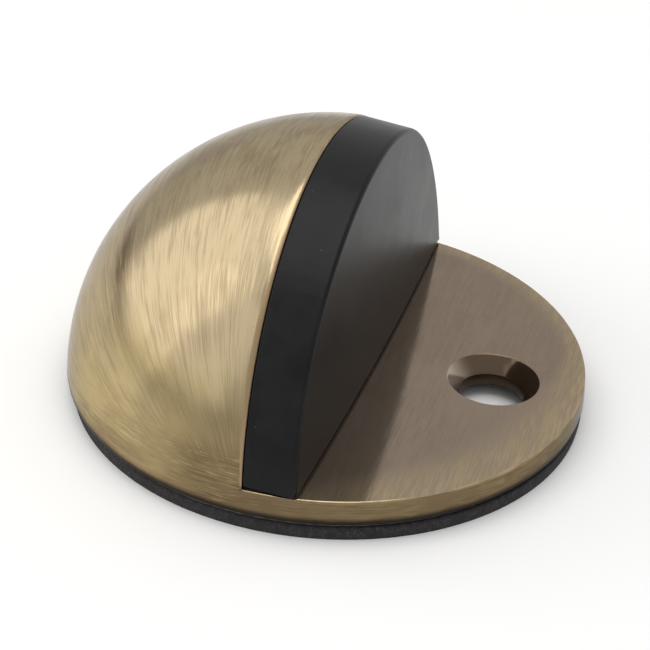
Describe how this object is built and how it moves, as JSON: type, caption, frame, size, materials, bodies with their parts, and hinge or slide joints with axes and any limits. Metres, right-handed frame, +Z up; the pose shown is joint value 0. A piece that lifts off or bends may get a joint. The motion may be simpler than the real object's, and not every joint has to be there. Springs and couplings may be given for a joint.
{
  "type": "door stop",
  "caption": "Half-dome floor door stop: a brushed antique brass casting with a round screw-down base, a rubber buffer on its flat face and a foam pad beneath.",
  "frame": {"origin": "centre of the foam pad's underside, on the floor", "axes": "+Z up from the floor, -Y the way the buffer faces, towards the door; X across the buffer"},
  "size_m": [0.047, 0.047, 0.0244],
  "materials": {
    "antique_brass": "antique brass plating with a fine brushed grain, clear lacquer",
    "buffer_rubber": "moulded, matt",
    "pad_foam": "closed-cell foam with cut edges",
    "adhesive_film": "thin adhesive layer"
  },
  "bodies": {
    "root": {"body_casting": "antique_brass", "rubber_buffer": "buffer_rubber", "foam_base_pad": "pad_foam", "pad_adhesive_film": "adhesive_film"}
  },
  "joints": []
}
